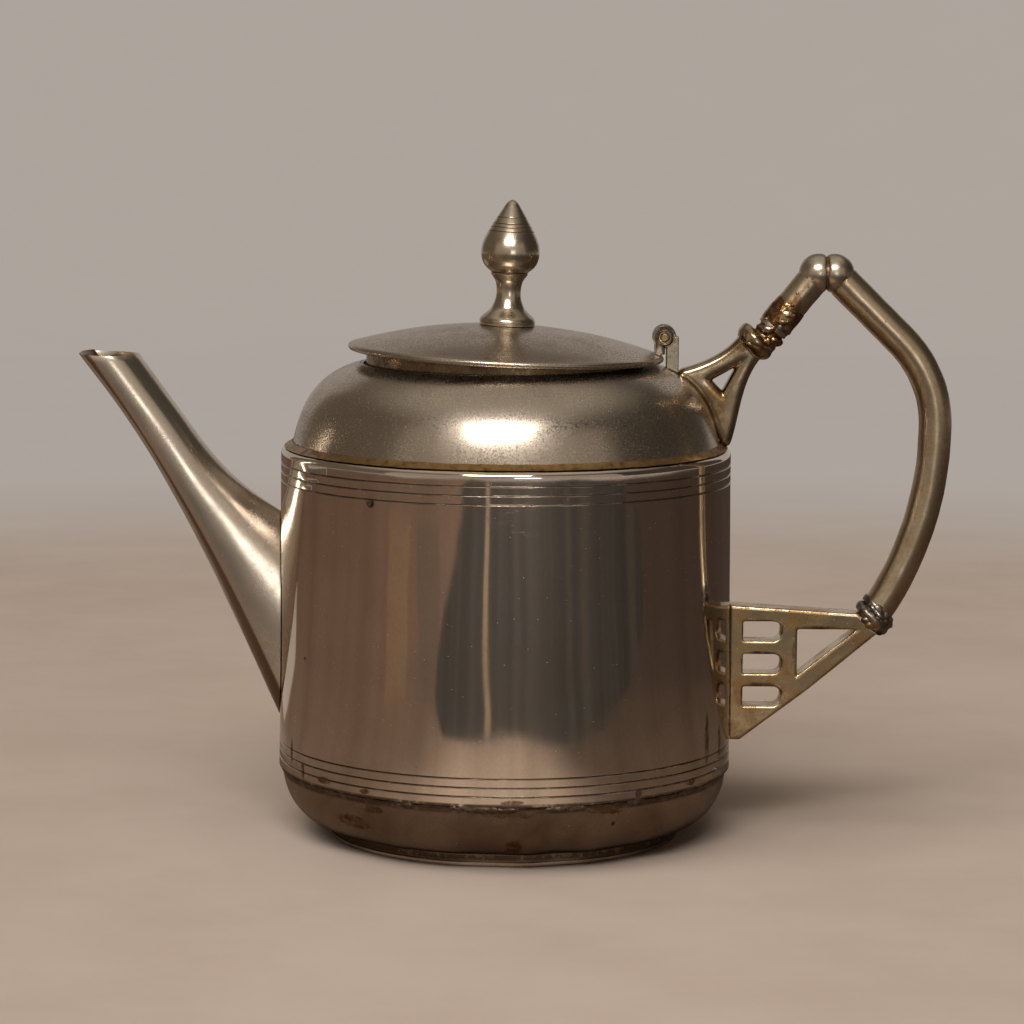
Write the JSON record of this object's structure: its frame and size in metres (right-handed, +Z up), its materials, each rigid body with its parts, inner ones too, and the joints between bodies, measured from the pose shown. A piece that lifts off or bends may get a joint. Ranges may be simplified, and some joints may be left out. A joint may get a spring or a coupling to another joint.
{
  "type": "metal teapot with a hinged lid",
  "caption": "Round metal teapot with a hinged domed lid, acorn finial, long spout and a bar handle on two brackets.",
  "frame": {"origin": "middle of the foot ring on the surface the pot stands on, on the barrel's axis", "axes": "+Z up along the barrel, +X towards the handle and the hinge, -X towards the spout"},
  "size_m": [0.215, 0.112, 0.1568],
  "materials": {
    "barrel_plate": "worn silver plate over nickel silver, polished",
    "shoulder_plate": "worn silver plate over nickel silver, finely pitted",
    "pan_plate": "worn silver plate over nickel silver, stained",
    "lid_plate": "worn silver plate over nickel silver, pitted",
    "spout_plate": "worn silver plate over nickel silver, polished",
    "worn_casting": "cast nickel silver, plate worn through",
    "tarnished_bar": "satin, brown tarnish",
    "hinge_metal": "satin",
    "pin_metal": "tarnished",
    "copper_solder": "lumpy brazing metal, oxidised",
    "brown_solder": "dull brown solder",
    "grey_solder": "lumpy soft solder, brushed"
  },
  "bodies": {
    "pot": {"base_pan": "pan_plate", "foot_ring": "pan_plate", "barrel": "barrel_plate", "shoulder": "shoulder_plate", "mouth_collar": "shoulder_plate", "shoulder_seam": "brown_solder", "base_seam": "grey_solder", "spout_left_shell": "spout_plate", "spout_right_shell": "spout_plate", "upper_fork": "worn_casting", "upper_repair_solder": "copper_solder", "grip_upper_tube": "tarnished_bar", "elbow_bead": "tarnished_bar", "grip_lower_tube": "tarnished_bar", "lower_collar": "worn_casting", "lower_repair_solder": "grey_solder", "lower_bracket": "worn_casting", "hinge_post": "hinge_metal", "hinge_pin": "pin_metal"},
    "lid": {"lid_dome": "lid_plate", "lid_flange": "lid_plate", "lid_hinge_fork": "hinge_metal", "finial_stem": "lid_plate", "finial_bulb": "lid_plate", "finial_washer": "pin_metal", "finial_nut": "pin_metal"}
  },
  "joints": [
    {"name": "lid_hinge", "type": "hinge", "parent": "pot", "child": "lid", "pos_m": [0.03865, 0, 0.12355], "axis": [0, 1, 0], "range_deg": [-2.2, 111]}
  ]
}
